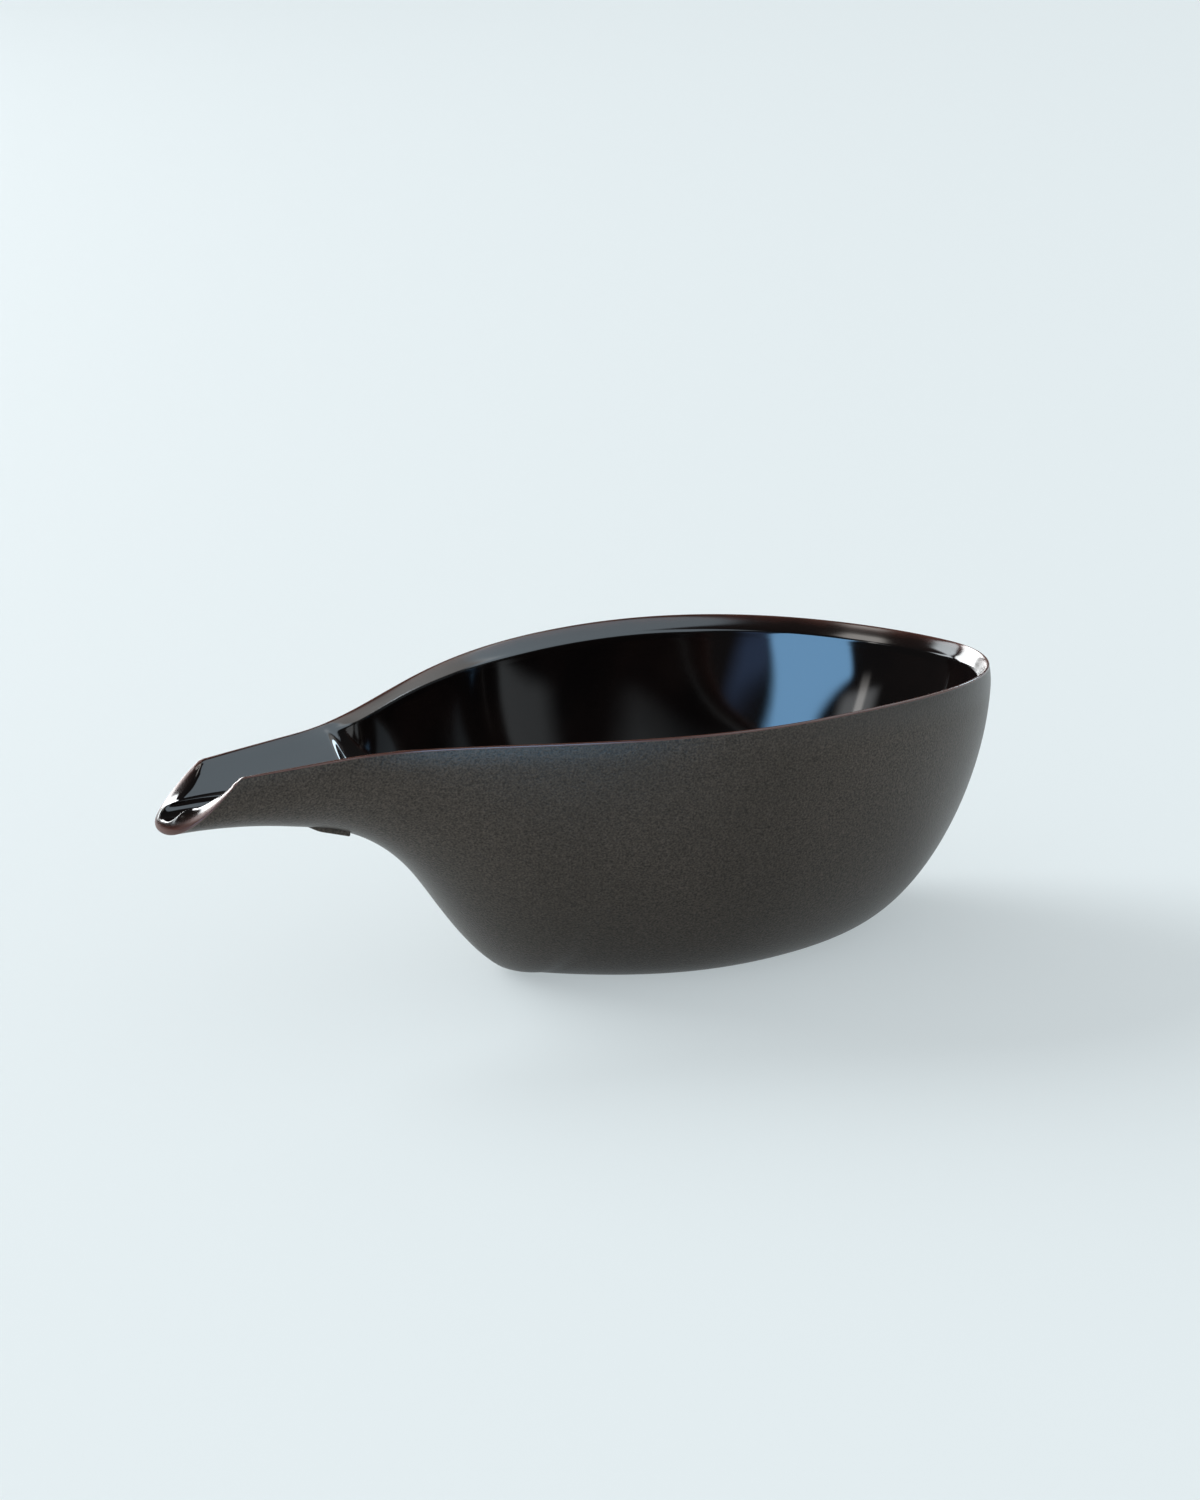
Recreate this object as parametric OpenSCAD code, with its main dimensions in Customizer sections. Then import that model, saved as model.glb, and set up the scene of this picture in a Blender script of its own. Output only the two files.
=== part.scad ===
// Katakuchi sake pourer: a leaf-shaped stoneware bowl with a luted spout, glazed inside and on its rim.
// Millimetres, +Z up. The origin is on the table, under the bowl's widest place; the spout points to -X.

/* [Bowl] */
// overall length, from the lip of the spout to the stern
length = 200.6; // [170:0.2:240]
// greatest width across the rim
width = 91; // [75:1:110]
// height of the rim at the widest place
height = 57; // [48:0.5:70]
// height of the rim at the stern
stern_height = 51.5; // [44:0.5:60]
// distance from the stern forward to the widest place
widest_from_stern = 74; // [62:1:86]
// how round the stern is in plan, as the half width that it holds near its end
stern_round = 13.4; // [8:0.2:20]
// fullness of the ribs between the foot and the wall
bilge_fullness = 0.55; // [0.4:0.01:0.65]
// fullness of the ribs below the rim
wall_fullness = 0.57; // [0.4:0.01:0.65]
// fullness of the last rib, at the stern
stern_fullness = 0.44; // [0.35:0.01:0.6]
// share of a rib's spread by which it leans in again towards the rim
lean_in = 0.03; // [0:0.01:0.08]

/* [Foot] */
// reach of the flat foot ahead of the widest place
foot_front = 42.4; // [34:0.2:50]
// reach of the flat foot behind the widest place
foot_back = 39.7; // [32:0.2:48]
// width of the flat foot
foot_width = 42.8; // [34:0.2:52]

/* [Spout] */
// outside width of the mouth, across its top corners
mouth_width = 16.2; // [13:0.2:20]
// depth of the mouth, from its top corners down to the tip of the lip
mouth_depth = 10.8; // [9:0.1:13]
// height of the mouth's top corners above the table
mouth_height = 55; // [48:0.5:62]
// how far the lip runs ahead of the top corners
lip_rake = 12.9; // [7:0.1:16]
// length of the straight sides, back from the top corners
straight_side = 22.8; // [16:0.2:28]
// outside width where the straight sides end
root_width = 22; // [18:0.2:28]
// length of the spout's underside, from the tip of the lip back to the bow
straight_under = 32.7; // [28:0.1:36]
// fall of the line of the underside over that length
under_fall = 6.95; // [4:0.05:8]
// how far the tip of the lip hangs below the line of the underside
lip_droop = 2.7; // [0:0.1:3]
// length over which the underside curves down to the tip
droop_run = 26; // [16:0.5:28]
// distance from the end of the straight sides back to the luted joint
joint_behind = 11; // [8:0.5:16]

/* [Wall and glaze] */
// thickness of the clay in the bowl's floor and foot
wall = 2.8; // [2.2:0.1:4]
// thickness of the clay at the bowl's rim
rim_wall = 2.2; // [1.6:0.1:3]
// extra clay in the bowl's side below the rim, so that the inside leans out
side_swell = 1.8; // [0:0.1:3]
// extra clay below the rim at the stern
stern_swell = 3.2; // [0:0.1:4.2]
// thickness of the clay under the lip
lip_wall = 2.1; // [1.6:0.1:3]
// thickness of the clay at the spout's rim
spout_rim_wall = 0.8; // [0.7:0.1:1.6]
// extra clay in the spout's sides, which slope in
spout_swell = 2.3; // [0:0.1:2.8]
// thickness of the glaze coat
glaze = 0.4; // [0.3:0.05:0.8]
// height of the sloped edge inside the bowl's rim
rim_slope = 2.6; // [1.5:0.1:4]
// height of the sloped edge inside the spout's rim, and its depth along the lip
lip_slope = 0.6; // [0.4:0.1:1.4]

/* [Drip tab] */
// distance from the tip of the lip back to the tab
tab_back = 32.1; // [30:0.1:34]
// length of the tab
tab_length = 9; // [6:0.2:11]
// width of the tab
tab_width = 4.8; // [3.6:0.2:8]
// how far the tab's front end stands below the spout
tab_front_proud = 0.45; // [0.3:0.05:1.5]
// how far the tab's rear end stands below the spout
tab_rear_proud = 0.6; // [0.4:0.05:2]

/* [Detail] */
// facets from the foot or keel up to the rim
facets_up = 15; // [12:1:18]
// steps between the ribs from the lip to the tab
lip_steps = 5; // [4:1:8]
// steps along the tab
tab_steps = 3; // [2:1:5]
// steps from the tab to the luted joint
joint_steps = 2; // [2:1:4]
// steps down the bow
bow_steps = 9; // [7:1:12]
// steps along the side, from the foot's point to the widest place
side_steps = 8; // [6:1:11]
// steps from the widest place round to the stern
stern_steps = 16; // [12:1:20]

/* [Hidden] */

clay_color = [0.24, 0.22, 0.21];
tab_color = [0.20, 0.18, 0.17];
glaze_color = [0.05, 0.04, 0.045];
rim_color = [0.36, 0.17, 0.12];

// half width of the flat line that runs along the keel and down the stern
seam = 0.3;
// how the fore side of the rim leaves the spout and reaches the widest place, as shares of its length
rim_leave = 0.26;
rim_reach = 0.47;
// how far the side keeps its width behind the widest place, as a share of the run to the stern
side_keep = 0.71;
// how the bow leaves the spout and reaches the foot, as shares of its length
bow_leave = 0.633;
bow_reach = 0.303;
// how the foot leaves its point and reaches its full width, as shares of its length and half width
foot_leave = [0.21, 0.435];
foot_reach = 0.5;
// fullness of the lip's own rib
lip_bilge = 0.86;
lip_side = 0.60;
// depth over which the clay swells, as shares of the mouth's depth and of the height
spout_reach = 0.83;
side_reach = 0.49;
// share of a rib's height, above the foot, over which the swell fades in
foot_fade = 0.4;
// where the trough's walls end in a ridge, as a share of the run from the straight sides to the joint
ridge_from = 0.7;
// length behind the ridge over which the bowl's own thickness is reached
ridge_fade = 8;
// share of the outside's bend, up to the ridge, that the inside of the trough doesn't follow
ridge_straight = 1.4;
// where the stern's own thickness begins, and how long it takes, as shares of the run to the stern
stern_from = 0.2;
stern_turn = 0.45;
// share of the swell that is left at the lip, where the trough opens out
lip_swell = 0.15;

half_width = width / 2;
half_foot = foot_width / 2;
stern_x = widest_from_stern;
nose_x = widest_from_stern - length;
corner_x = nose_x + lip_rake;
root_x = corner_x + straight_side;
joint_x = root_x + joint_behind;
ridge_x = root_x + ridge_from * joint_behind;
under_x = nose_x + straight_under;
foot_x = -foot_front;
lip_z = mouth_height - mouth_depth;
under_z = lip_z + lip_droop - under_fall;
side_taper = (root_width - mouth_width) / 2 / straight_side;
under_grade = under_fall / straight_under;
bow_run = foot_x - under_x;

function mix(a, b, t) = a + (b - a) * t;
function ease(t) = t * t * (3 - 2 * t);
function limit(t) = max(0, min(1, t));
function unit(v) = v / norm(v);
function flip(p) = [p.x, -p.y, p.z];

// a point, and the direction, on a cubic curve with four control points
function bend(c, t) =
    let (s = 1 - t)
    s * s * s * c[0] + 3 * s * s * t * c[1] + 3 * s * t * t * c[2] + t * t * t * c[3];
function heading(c, t) =
    let (s = 1 - t)
    3 * s * s * (c[1] - c[0]) + 6 * s * t * (c[2] - c[1]) + 3 * t * t * (c[3] - c[2]);
// the parameter at which coordinate k of a rising curve reaches a value
function seek(c, k, value, lo = 0, hi = 1, n = 26) =
    let (mid = (lo + hi) / 2, low = bend(c, mid)[k] < value)
    n == 0 ? mid : seek(c, k, value, low ? mid : lo, low ? hi : mid, n - 1);
function height_at(c, x) = bend(c, seek(c, 0, x))[1];

// lines of the vessel: the rim and foot in plan, the bow in side view
rim_fore = [
    [root_x, root_width / 2],
    [root_x * (1 - rim_leave), root_width / 2 - side_taper * rim_leave * root_x],
    [root_x * rim_reach, half_width],
    [0, half_width]
];
rim_aft = [[0, half_width], [side_keep * stern_x, half_width], [stern_x, stern_round], [stern_x, 0]];
bow = [
    [under_x, under_z],
    [under_x + bow_leave * bow_run, under_z - under_grade * bow_leave * bow_run],
    [foot_x - bow_reach * bow_run, 0],
    [foot_x, 0]
];
foot_fore = [
    [foot_x, 0],
    [foot_x * (1 - foot_leave.x), foot_leave.y * half_foot],
    [foot_x * foot_reach, half_foot],
    [0, half_foot]
];

function rim_y(x) = x < root_x ? mouth_width / 2 + side_taper * (x - corner_x) : height_at(rim_fore, x);
function rim_z(x) =
    x < 0 ? mix(height, mouth_height, pow(x / corner_x, 2))
          : mix(height, stern_height, pow(x / stern_x, 2));
function droop_at(x) = lip_droop * (1 - pow(limit(1 - (x - nose_x) / droop_run), 2));
function keel_z(x) =
    x < under_x ? lip_z + droop_at(x) - under_grade * (x - nose_x) : x < foot_x ? height_at(bow, x) : 0;
function foot_y(x) = x <= foot_x ? seam : max(seam, height_at(foot_fore, x));

// ribs: four control points each, from the keel or foot up to the rim, on the +Y side
function fore_rib(foot_at, rim_at, w) =
    let (
        k = [foot_at, foot_y(foot_at), keel_z(foot_at)],
        r = [rim_at, rim_y(rim_at), rim_z(rim_at)],
        low = mix(lip_bilge, bilge_fullness, w),
        high = mix(lip_side, wall_fullness, w),
        spread = r.y - k.y
    )
    [k, k + [0, low * spread, 0], r - high * [r.x - k.x, 0, r.z - k.z] + [0, lean_in * spread, 0], r];
function aft_rib(t) =
    let (
        p = bend(rim_aft, t),
        r = [p.x, max(p.y, seam), rim_z(p.x)],
        k = [p.x * foot_back / stern_x, max(p.y * half_foot / half_width, seam), 0],
        spread = [r.x - k.x, r.y - k.y, 0],
        low = mix(bilge_fullness, stern_fullness, ease(t)),
        high = mix(wall_fullness, stern_fullness, ease(t))
    )
    [k, k + low * spread, r + lean_in * spread - [0, 0, high * r.z], r];

// places of the ribs: along the spout as shares from the lip to the joint, then along the bowl
reach = joint_x - nose_x;
tab_from = tab_back / reach;
tab_to = (tab_back + tab_length) / reach;
spout_places = [
    for (i = [0:lip_steps - 1]) tab_from * i / lip_steps,
    for (i = [0:tab_steps - 1]) mix(tab_from, tab_to, i / tab_steps),
    for (i = [0:joint_steps - 1]) mix(tab_to, 1, i / joint_steps)
];
bow_places = [for (i = [0:bow_steps - 1]) mix(joint_x, foot_x, i / bow_steps)];
side_places = [for (i = [0:side_steps - 1]) foot_x * (1 - i / side_steps)];
ribs = [
    for (s = spout_places) fore_rib(mix(nose_x, joint_x, s), mix(corner_x, joint_x, s), ease(s)),
    for (x = bow_places) fore_rib(x, x, 1),
    for (x = side_places) fore_rib(x, x, 1),
    for (i = [0:stern_steps]) aft_rib(i / stern_steps)
];
first_tab_rib = lip_steps;
last_tab_rib = lip_steps + tab_steps;
joint_rib = len(spout_places);
foot_rib = joint_rib + bow_steps;
last_rib = len(ribs) - 1;

// share of the way from the lip to the joint, and what depends on it
function along(i) = i < joint_rib ? spout_places[i] : 1;
function bowl_part(i) = 1 - pow(1 - limit((ribs[i][3].x - ridge_x) / ridge_fade), 2);
function bent_away(i) =
    let (x = max(root_x, min(ridge_x, ribs[i][3].x)))
    rim_y(x) - root_width / 2 - side_taper * (x - root_x);
function stern_part(i) = ease(limit((ribs[i][3].x / stern_x - stern_from) / stern_turn));
function swell_at(i) =
    let (
        trough = spout_swell + ridge_straight * bent_away(i),
        bowl = mix(side_swell, stern_swell, stern_part(i))
    )
    mix(trough, bowl, bowl_part(i)) * (i == 0 ? lip_swell : 1);
function clay_at(i, v) =
    let (
        part = bowl_part(i),
        drop = norm(ribs[i][3] - bend(ribs[i], v)),
        q = min(1, drop / mix(spout_reach * mouth_depth, side_reach * height, part))
    )
    mix(mix(lip_wall, wall, along(i)), mix(spout_rim_wall, rim_wall, part), v)
        + swell_at(i) * q * (3 - q * q) / 2 * ease(limit(v / foot_fade));
function slope_at(i) = mix(lip_slope, rim_slope, ease(min(1, i / foot_rib)));

// columns: facets up a rib, with one at the edge of the tab; the inside ones stop below the sloped edge
tab_columns = 3;
tab_share = seek(ribs[first_tab_rib + 1], 1, tab_width / 2);
function column(j) =
    j <= tab_columns ? tab_share * j / tab_columns
                     : mix(tab_share, 1, (j - tab_columns) / (facets_up - tab_columns));
slope_share = [for (i = [0:last_rib]) seek(ribs[i], 2, ribs[i][3].z - slope_at(i))];
function share(layer, i, j) = layer == 0 ? column(j) : column(j) * slope_share[i];

// a point on the +Y side, set in from the outside by a distance along the surface's own normal
function next_rib(i, v) = i < last_rib ? bend(ribs[i + 1], v) : flip(bend(ribs[i - 1], v));
function run_at(i, v) = next_rib(i, v) - bend(ribs[max(i - 1, 0)], v);
function inward(i, v) =
    v == 0 && i >= foot_rib ? [0, 0, 1]
                            : unit(cross(run_at(i, v), heading(ribs[i], v)));
// layers: 0 the outside, 1 the inside of the clay, 2 the inside of the glaze
function inset_of(layer, i, v) = layer == 0 ? 0 : clay_at(i, v) + (layer == 2 ? glaze : 0);
function skin(layer, i, j) =
    let (v = share(layer, i, j), p = bend(ribs[i], v) + inset_of(layer, i, v) * inward(i, v))
    i == 0 && layer > 0 ? p + [lip_slope, 0, 0] : p;
last_column = 2 * facets_up + 1;
function spot(layer, i, c) =
    c <= facets_up ? flip(skin(layer, i, facets_up - c)) : skin(layer, i, c - facets_up - 1);
function layer_points(layer, from, to) =
    [for (i = [from:to]) for (c = [0:last_column]) spot(layer, i, c)];

// facets between two layers: both sheets, the strip that closes them at the stern, and an edge's strip
function tag(layer, i, c, from, to) = (layer * (to - from + 1) + i - from) * (last_column + 1) + c;
function pair(a, b, c, d, turn) = turn ? [[a, d, c], [a, c, b]] : [[a, b, c], [a, c, d]];
function sheet(layer, from, to, opened) = [
    for (i = [from:to - 1])
        for (c = [0:last_column - 1])
            if (!(opened && i >= foot_rib && c == facets_up))
                each pair(
                    tag(layer, i, c, from, to),
                    tag(layer, i + 1, c, from, to),
                    tag(layer, i + 1, c + 1, from, to),
                    tag(layer, i, c + 1, from, to),
                    layer == 1
                )
];
function stern_strip(layer, from, to) = [
    for (c = [0:facets_up - 1])
        each pair(
            tag(layer, to, c + 1, from, to),
            tag(layer, to, c, from, to),
            tag(layer, to, last_column - c, from, to),
            tag(layer, to, last_column - c - 1, from, to),
            layer == 1
        )
];
function before(p, q) = p[0] == q[0] ? p[1] < q[1] : p[0] < q[0];
function edge_strip(loop, from, to) = [
    for (k = [0:len(loop) - 1])
        let (
            p = loop[k],
            q = loop[(k + 1) % len(loop)],
            a = tag(0, p[0], p[1], from, to),
            b = tag(0, q[0], q[1], from, to),
            c = tag(1, q[0], q[1], from, to),
            d = tag(1, p[0], p[1], from, to)
        )
        each before(p, q) ? [[a, b, c], [a, c, d]] : [[a, b, d], [b, c, d]]
];
// the outer edge of a run of ribs, from one end of the rim round to the other
function rim_loop(from, to, ended) = [
    for (i = [to:-1:from]) [i, 0],
    for (c = [1:last_column]) [from, c],
    for (i = [from + 1:to]) [i, last_column],
    if (ended) for (c = [last_column - 1:-1:1]) [to, c]
];
// the edge that the wall leaves open round the base
base_loop = [
    for (i = [foot_rib:last_rib]) [i, facets_up],
    for (i = [last_rib:-1:foot_rib]) [i, facets_up + 1]
];

// a shell between two layers; it is closed at the stern where it runs that far, and may be open at the foot
module shell(outer, inner, from, to, opened = false) {
    whole = to == last_rib;
    polyhedron(
        points = concat(layer_points(outer, from, to), layer_points(inner, from, to)),
        faces = concat(
            sheet(0, from, to, opened),
            sheet(1, from, to, opened),
            whole ? stern_strip(0, from, to) : [],
            whole ? stern_strip(1, from, to) : [],
            edge_strip(rim_loop(from, to, !whole), from, to),
            opened ? edge_strip(base_loop, from, to) : []
        ),
        convexity = 8
    );
}

// the flat leaf-shaped slab that the wall is luted round
module base() {
    color(clay_color)
        linear_extrude(height = wall)
            polygon(
                concat(
                    [for (i = [foot_rib:last_rib]) [ribs[i][0].x, -ribs[i][0].y]],
                    [for (i = [last_rib:-1:foot_rib]) [ribs[i][0].x, ribs[i][0].y]]
                )
            );
}

// the wall, open at the foot and at the front for the base and the spout
module bowl_wall() {
    color(clay_color)
        shell(0, 1, joint_rib, last_rib, opened = true);
}

// the open trough, from the luted joint to the slanted lip
module spout() {
    color(clay_color)
        shell(0, 1, 0, joint_rib);
}

// the small flat pad luted under the spout; its top follows the spout and its underside is plane
module drip_tab() {
    across = 2 * tab_columns + 1;
    runs = last_tab_rib - first_tab_rib;
    middle = [facets_up - tab_columns : facets_up + 1 + tab_columns];
    front_z = keel_z(ribs[first_tab_rib][0].x) - tab_front_proud;
    rear_z = keel_z(ribs[last_tab_rib][0].x) - tab_rear_proud;
    tops = [for (i = [first_tab_rib:last_tab_rib]) for (c = middle) spot(0, i, c)];
    soles = [
        for (i = [first_tab_rib:last_tab_rib])
            for (c = middle)
                let (p = spot(0, i, c), w = (i - first_tab_rib) / runs)
                [p.x, p.y, mix(front_z, rear_z, w)]
    ];
    rim_of = [
        for (i = [runs:-1:0]) i * (across + 1),
        for (c = [1:across]) c,
        for (i = [1:runs]) i * (across + 1) + across,
        for (c = [across - 1:-1:1]) runs * (across + 1) + c
    ];
    color(tab_color)
        polyhedron(
            points = concat(soles, tops),
            faces = concat(
                [
                    for (layer = [0:1])
                        for (i = [0:runs - 1])
                            for (c = [0:across - 1])
                                let (o = layer * len(tops), a = o + i * (across + 1) + c)
                                each pair(a, a + across + 1, a + across + 2, a + 1, layer == 1)
                ],
                [
                    for (k = [0:len(rim_of) - 1])
                        let (p = rim_of[k], q = rim_of[(k + 1) % len(rim_of)])
                        each pair(p, q, q + len(tops), p + len(tops), false)
                ]
            ),
            convexity = 4
        );
}

// the black coat that lines the bowl
module bowl_glaze() {
    color(glaze_color)
        shell(1, 2, joint_rib, last_rib);
}

// the black coat that lines the spout
module spout_glaze() {
    color(glaze_color)
        shell(1, 2, 0, joint_rib);
}

// the thin coat that breaks red on the sloped edge, all round the rim and the lip
module rim_glaze() {
    loop = rim_loop(0, last_rib, false);
    count = len(loop);
    lip_out = unit([-mouth_depth, 0, lip_rake]);
    function rise(p) =
        p[0] > 0 ? [0, 0, 1] : p[1] == 0 || p[1] == last_column ? unit(lip_out + [0, 0, 1]) : lip_out;
    rows = [
        [for (p = loop) spot(0, p[0], p[1])],
        [for (p = loop) spot(1, p[0], p[1])],
        [for (p = loop) spot(2, p[0], p[1])],
        [for (p = loop) spot(0, p[0], p[1]) + glaze * rise(p)]
    ];
    color(rim_color)
        polyhedron(
            points = [for (row = rows) each row],
            faces = [
                for (k = [0:count - 1])
                    for (n = [0:3])
                        let (
                            q = (k + 1) % count,
                            m = (n + 1) % 4,
                            a = n * count + k,
                            b = n * count + q,
                            c = m * count + q,
                            d = m * count + k
                        )
                        each before(loop[k], loop[q]) ? [[a, c, b], [a, d, c]] : [[a, d, b], [b, d, c]]
            ],
            convexity = 8
        );
}

base();
bowl_wall();
spout();
drip_tab();
bowl_glaze();
spout_glaze();
rim_glaze();
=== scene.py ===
import math

import bpy
import numpy as np
from mathutils import Matrix, Quaternion, Vector


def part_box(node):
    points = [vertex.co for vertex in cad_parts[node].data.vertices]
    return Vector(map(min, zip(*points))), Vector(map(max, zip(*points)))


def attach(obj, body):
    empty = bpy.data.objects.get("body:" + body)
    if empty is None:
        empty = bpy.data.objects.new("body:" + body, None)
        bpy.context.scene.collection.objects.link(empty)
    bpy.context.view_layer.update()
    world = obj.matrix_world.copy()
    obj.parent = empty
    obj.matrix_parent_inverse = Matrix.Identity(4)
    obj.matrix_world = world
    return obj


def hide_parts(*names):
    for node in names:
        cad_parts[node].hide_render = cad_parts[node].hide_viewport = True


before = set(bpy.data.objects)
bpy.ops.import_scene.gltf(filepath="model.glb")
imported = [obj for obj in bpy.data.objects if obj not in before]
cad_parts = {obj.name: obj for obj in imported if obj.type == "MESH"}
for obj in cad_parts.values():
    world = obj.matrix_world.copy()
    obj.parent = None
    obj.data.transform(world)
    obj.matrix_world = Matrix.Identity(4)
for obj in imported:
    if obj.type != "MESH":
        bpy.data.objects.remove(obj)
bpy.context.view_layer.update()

scene = bpy.context.scene
scene.view_settings.view_transform = "Standard"
mm = 0.001
print("frame loaded:", len(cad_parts), "nodes")

# the frame gives the tip of the lip, the stern and the top; all in millimetres
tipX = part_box("spout")[0].x / mm
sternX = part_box("bowl_wall")[1].x / mm
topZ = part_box("bowl_wall")[1].z / mm

hull = {
    "halfWidth": 45.5,          # at the rim, at the widest place
    "sternZ": 51.5,             # height of the rim at the stern
    "sternRound": 13.4,         # how blunt the stern is in plan
    "sideKeep": 0.71,           # how far the side keeps its width towards the stern
    "rimLeave": 0.26,           # the rim's curve where it leaves the spout
    "rimReach": 0.47,           # and where it reaches the widest place
    "footFront": 42.4,
    "footBack": 39.7,
    "halfFoot": 21.4,
    "footLeave": (0.21, 0.435),
    "footReach": 0.5,
    "bowLeave": 0.633,
    "bowReach": 0.303,
    "bilge": 0.55,              # fullness of the ribs at the foot, the rim and the stern
    "side": 0.57,
    "stern": 0.44,
    "leanIn": 0.03,
    "wall": 2.8,                # clay at the foot
    "rimWall": 2.2,             # and at the rim; it swells between them, so the inside leans out
    "sideSwell": 1.8,
    "sternSwell": 3.2,
    "swellReach": 28.0,
    "swellFoot": 0.4,           # the swell sets in over this share of the height
    "sternFrom": 0.2,           # the stern's own swell sets in here, as shares of the length aft
    "sternRun": 0.45,
    "glaze": 0.4,
    "shoulder": 0.45,           # the outside leans in by this much just under the rim
    "shoulderReach": 4.5,
    "lipShoulder": 0.5,         # share of it that is left at the lip
}
mouth = {
    "halfWidth": 8.1,
    "depth": 10.8,              # from the top corners down to the tip
    "topZ": 55.0,
    "rake": 12.9,               # how far the slanted lip runs forward
    "cornerDrop": 0.1,          # rounding of the lip's top corners
    "cornerReach": 0.9,
    "straightSide": 22.8,
    "rootHalf": 11.0,
    "straightUnder": 32.7,
    "underFall": 6.95,
    "lipDroop": 2.7,            # the tip hangs below the line of the straight underside
    "droopRun": 26.0,
    "jointBehind": 11.0,        # the luted joint lies this far behind the root
    "bilge": 0.86,
    "side": 0.60,
    "wall": 2.1,
    "rimWall": 0.8,
    "swell": 2.3,               # the trough's sides slope in
    "swellReach": 9.0,
    "flare": 2.2,               # the inside is rounded off over this length at the lip
    "lipSwell": 0.15,
    "ridgeFrom": 0.70,          # the trough's walls end in a ridge, at this share of the way to the joint
    "ridgeFade": 8.0,           # and the bowl's own thickness is reached this far behind it
    "ridgeRound": 1.7,
    "ridgeSwell": 1.4,          # up to the ridge the inside runs straight on while the outside bends away
}
# numbers of ribs along the vessel and of points across it
fineness = {
    "up": 54,
    "floor": 16,
    "lip": 13,
    "bow": 42,
    "side": 40,
    "stern": 88,
    "cornerAlong": 8,           # round the top corner of the lip
    "cornerDown": 6,
}
# ribs of the spout behind the flare of the lip: close ones, then wider ones, then many at the root
spoutRibs = {"from": 2.6, "close": 0.5, "closeTo": 6.0, "wide": 1.0, "rootRun": 13.0, "rootCount": 40}
halvings = 40                   # of a search by halves
noLength = 1e-12                # keeps a zero vector from being divided by zero
middleGap = 1e-6                # a point this near the middle plane counts as on it

cornerX = tipX + mouth["rake"]
rootX = cornerX + mouth["straightSide"]
jointX = rootX + mouth["jointBehind"]
underX = tipX + mouth["straightUnder"]
footX = -hull["footFront"]
lipZ = mouth["topZ"] - mouth["depth"]
underZ = lipZ + mouth["lipDroop"] - mouth["underFall"]
sideTaper = (mouth["rootHalf"] - mouth["halfWidth"]) / mouth["straightSide"]
underGrade = mouth["underFall"] / mouth["straightUnder"]
bowRun = footX - underX


def mix(a, b, t):
    return a + (b - a) * t


def ease(t):
    t = np.clip(t, 0, 1)
    return t * t * (3 - 2 * t)


def unit(v):
    return v / np.maximum(np.linalg.norm(v, axis=-1, keepdims=True), noLength)


def bend(c, t):
    c, t = np.asarray(c, float), np.asarray(t, float)[..., None]
    s = 1 - t
    return s ** 3 * c[0] + 3 * s * s * t * c[1] + 3 * s * t * t * c[2] + t ** 3 * c[3]


def heightAt(c, x):
    low, high = np.zeros_like(x), np.ones_like(x)
    for _ in range(halvings):
        mid = (low + high) / 2
        short = bend(c, mid)[..., 0] < x
        low, high = np.where(short, mid, low), np.where(short, high, mid)
    return bend(c, (low + high) / 2)[..., 1]


# lines of the vessel: rim and foot in plan, bow in side view
rimFore = [
    (rootX, mouth["rootHalf"]),
    (rootX * (1 - hull["rimLeave"]), mouth["rootHalf"] - sideTaper * hull["rimLeave"] * rootX),
    (rootX * hull["rimReach"], hull["halfWidth"]),
    (0, hull["halfWidth"]),
]
rimAft = [
    (0, hull["halfWidth"]),
    (hull["sideKeep"] * sternX, hull["halfWidth"]),
    (sternX, hull["sternRound"]),
    (sternX, 0),
]
bowLine = [
    (underX, underZ),
    (underX + hull["bowLeave"] * bowRun, underZ - underGrade * hull["bowLeave"] * bowRun),
    (footX - hull["bowReach"] * bowRun, 0),
    (footX, 0),
]
footFore = [
    (footX, 0),
    (footX * (1 - hull["footLeave"][0]), hull["footLeave"][1] * hull["halfFoot"]),
    (footX * hull["footReach"], hull["halfFoot"]),
    (0, hull["halfFoot"]),
]


def rimY(x):
    return np.where(x < rootX, mouth["halfWidth"] + sideTaper * (x - cornerX), heightAt(rimFore, x))


def rimZ(x):
    fore = mix(topZ, mouth["topZ"], (x / cornerX) ** 2)
    return np.where(x < 0, fore, mix(topZ, hull["sternZ"], (x / sternX) ** 2))


def keelZ(x):
    droop = mouth["lipDroop"] * np.clip(1 - (x - tipX) / mouth["droopRun"], 0, 1) ** 2
    spout = lipZ + mouth["lipDroop"] - underGrade * (x - tipX) - droop
    return np.where(x < underX, spout, np.where(x < footX, heightAt(bowLine, x), 0))


def footY(x):
    return np.where(x <= footX, 0, heightAt(footFore, x))


def foreRibs(footAt, rimAt, share):
    k = np.stack([footAt, footY(footAt), keelZ(footAt)], -1)
    drop = mouth["cornerDrop"] * np.clip(1 - (rimAt - cornerX) / mouth["cornerReach"], 0, 1) ** 2
    r = np.stack([rimAt, rimY(rimAt), rimZ(rimAt) - drop], -1)
    low, high = mix(mouth["bilge"], hull["bilge"], share), mix(mouth["side"], hull["side"], share)
    spread = r[:, 1] - k[:, 1]
    p1, p2 = k.copy(), r.copy()
    p1[:, 1] += low * spread
    p2[:, 0] -= high * (r[:, 0] - k[:, 0])
    p2[:, 2] -= high * (r[:, 2] - k[:, 2])
    p2[:, 1] += hull["leanIn"] * spread
    return np.stack([k, p1, p2, r], 1)


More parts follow.
